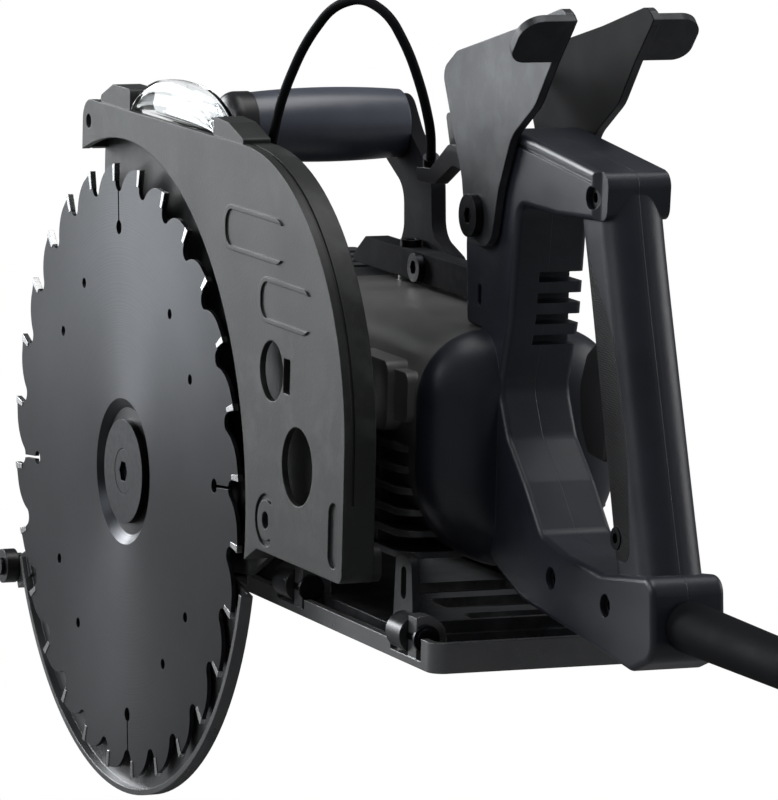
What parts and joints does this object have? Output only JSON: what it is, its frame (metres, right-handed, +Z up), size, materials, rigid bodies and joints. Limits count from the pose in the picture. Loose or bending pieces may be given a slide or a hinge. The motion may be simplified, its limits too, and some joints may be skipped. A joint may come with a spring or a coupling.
{
  "type": "worm drive circular saw",
  "caption": "Worm drive framing saw with outboard carbide blade, cast guards, D handle, front handle, rafter hook, depth and bevel shoe, and short cord.",
  "frame": {"origin": "underside of the shoe, straight below the arbor, in the upright plane of the motor shaft", "axes": "+X to the rear, where the operator stands; +Y away from the blade; +Z up from the shoe"},
  "size_m": [0.7772, 0.2176, 0.3603],
  "materials": {
    "case_alloy": "satin",
    "guard_alloy": "satin",
    "steel": "brushed",
    "dark_steel": "satin",
    "carbide": "satin",
    "bearing_steel": "polished",
    "bronze": "satin",
    "copper": "satin",
    "iron_core": "satin",
    "silver_housing": "satin",
    "body_plastic": "satin",
    "black_plastic": "satin",
    "soft_rubber": "matte",
    "clear": "clear",
    "shoe_metal": "satin",
    "brass_prongs": "satin"
  },
  "bodies": {
    "saw_body": {"gear_case": "case_alloy", "oil_plug": "steel", "gear_cover": "case_alloy", "case_screws": "dark_steel", "motor_housing": "silver_housing", "field_core": "iron_core", "field_coils": "copper", "rear_bearing_bracket": "case_alloy", "brush_holders": "bronze", "carbon_brushes": "black_plastic", "brush_caps": "black_plastic", "bearings": "bearing_steel", "upper_guard": "guard_alloy", "sight_lens": "clear", "guard_retaining_ring": "steel", "guard_spring": "steel", "depth_bolt": "dark_steel", "handle_left": "body_plastic", "handle_right": "body_plastic", "grip_pads": "soft_rubber", "handle_screws": "dark_steel", "switch": "black_plastic", "handle_pins": "steel", "hook_bolt": "dark_steel", "front_handle_frame": "case_alloy", "front_grip": "black_plastic", "front_grip_cap": "black_plastic", "lift_cable": "soft_rubber", "cable_ends": "dark_steel", "strain_relief": "soft_rubber", "cord": "soft_rubber", "plug_body": "black_plastic", "plug_prongs": "brass_prongs"},
    "blade_set": {"blade": "dark_steel", "blade_tips": "carbide", "blade_washer": "dark_steel", "arbor_bolt": "dark_steel", "blade_flange": "steel", "spindle": "steel", "worm_wheel": "bronze"},
    "armature": {"motor_shaft": "steel", "armature_core": "iron_core", "armature_windings": "copper", "commutator": "copper", "cooling_fan": "black_plastic", "worm": "steel"},
    "lower_guard_set": {"lower_guard": "shoe_metal", "roller_pin": "steel"},
    "roller": {"guard_roller": "black_plastic"},
    "carriage_set": {"carriage": "shoe_metal", "depth_pivot_pin": "steel", "bevel_bolt": "steel"},
    "shoe_set": {"shoe": "shoe_metal", "bevel_pins": "steel"},
    "bevel_lever": {"bevel_lever": "dark_steel"},
    "depth_lever": {"depth_lever": "dark_steel"},
    "rafter_hook": {"rafter_hook": "dark_steel"},
    "trigger": {"trigger": "black_plastic"},
    "lock_button": {"blade_lock_button": "black_plastic"},
    "lift_lever": {"lift_lever": "black_plastic"}
  },
  "joints": [
    {"name": "blade_spin", "type": "hinge", "parent": "saw_body", "child": "blade_set", "pos_m": [0, -0.08, 0.0365], "axis": [0, 1, 0], "continuous": true},
    {"name": "armature_spin", "type": "hinge", "parent": "saw_body", "child": "armature", "pos_m": [0.13, 0, 0.0755], "axis": [1, 0, 0], "continuous": true},
    {"name": "lower_guard_swing", "type": "hinge", "parent": "saw_body", "child": "lower_guard_set", "pos_m": [0, -0.075, 0.0365], "axis": [0, -1, 0], "range_deg": [0, 115], "stiffness_Nm_per_rad": 0.15, "springref_deg": -51.57},
    {"name": "roller_spin", "type": "hinge", "parent": "lower_guard_set", "child": "roller", "pos_m": [-0.13595, -0.08, -0.02689], "axis": [0, 1, 0], "continuous": true},
    {"name": "depth_swing", "type": "hinge", "parent": "saw_body", "child": "carriage_set", "pos_m": [-0.096, -0.017, 0.024], "axis": [0, 1, 0], "range_deg": [0, 40]},
    {"name": "bevel_tilt", "type": "hinge", "parent": "carriage_set", "child": "shoe_set", "pos_m": [0.13, -0.056, 0.011], "axis": [-1, 0, 0], "range_deg": [0, 50]},
    {"name": "bevel_lever_turn", "type": "hinge", "parent": "carriage_set", "child": "bevel_lever", "pos_m": [-0.118, 0.00309, 0.02142], "axis": [1, 0, 0], "range_deg": [0, 40]},
    {"name": "depth_lever_turn", "type": "hinge", "parent": "saw_body", "child": "depth_lever", "pos_m": [0.05435, -0.052, 0.07872], "axis": [0, 1, 0], "range_deg": [-20, 15]},
    {"name": "hook_swing", "type": "hinge", "parent": "saw_body", "child": "rafter_hook", "pos_m": [0.2215, 0, 0.171], "axis": [0, 1, 0], "range_deg": [0, 70]},
    {"name": "trigger_pull", "type": "hinge", "parent": "saw_body", "child": "trigger", "pos_m": [0.324, 0, 0.131], "axis": [0, -1, 0], "range_deg": [0, 10], "stiffness_Nm_per_rad": 0.6, "springref_deg": -6.88},
    {"name": "lock_button_press", "type": "slide", "parent": "saw_body", "child": "lock_button", "axis": [1, 0, 0], "range_m": [0, 0.003], "stiffness_N_per_m": 900, "springref_m": -0.001},
    {"name": "lift_lever_pull", "type": "hinge", "parent": "saw_body", "child": "lift_lever", "pos_m": [0.214, 0, 0.186], "axis": [0, 1, 0], "range_deg": [0, 25]}
  ],
  "couplings": [
    {"joint": "armature_spin", "follows": "blade_spin", "ratio": 5},
    {"joint": "lift_lever_pull", "follows": "lower_guard_swing", "ratio": 0.21739}
  ]
}
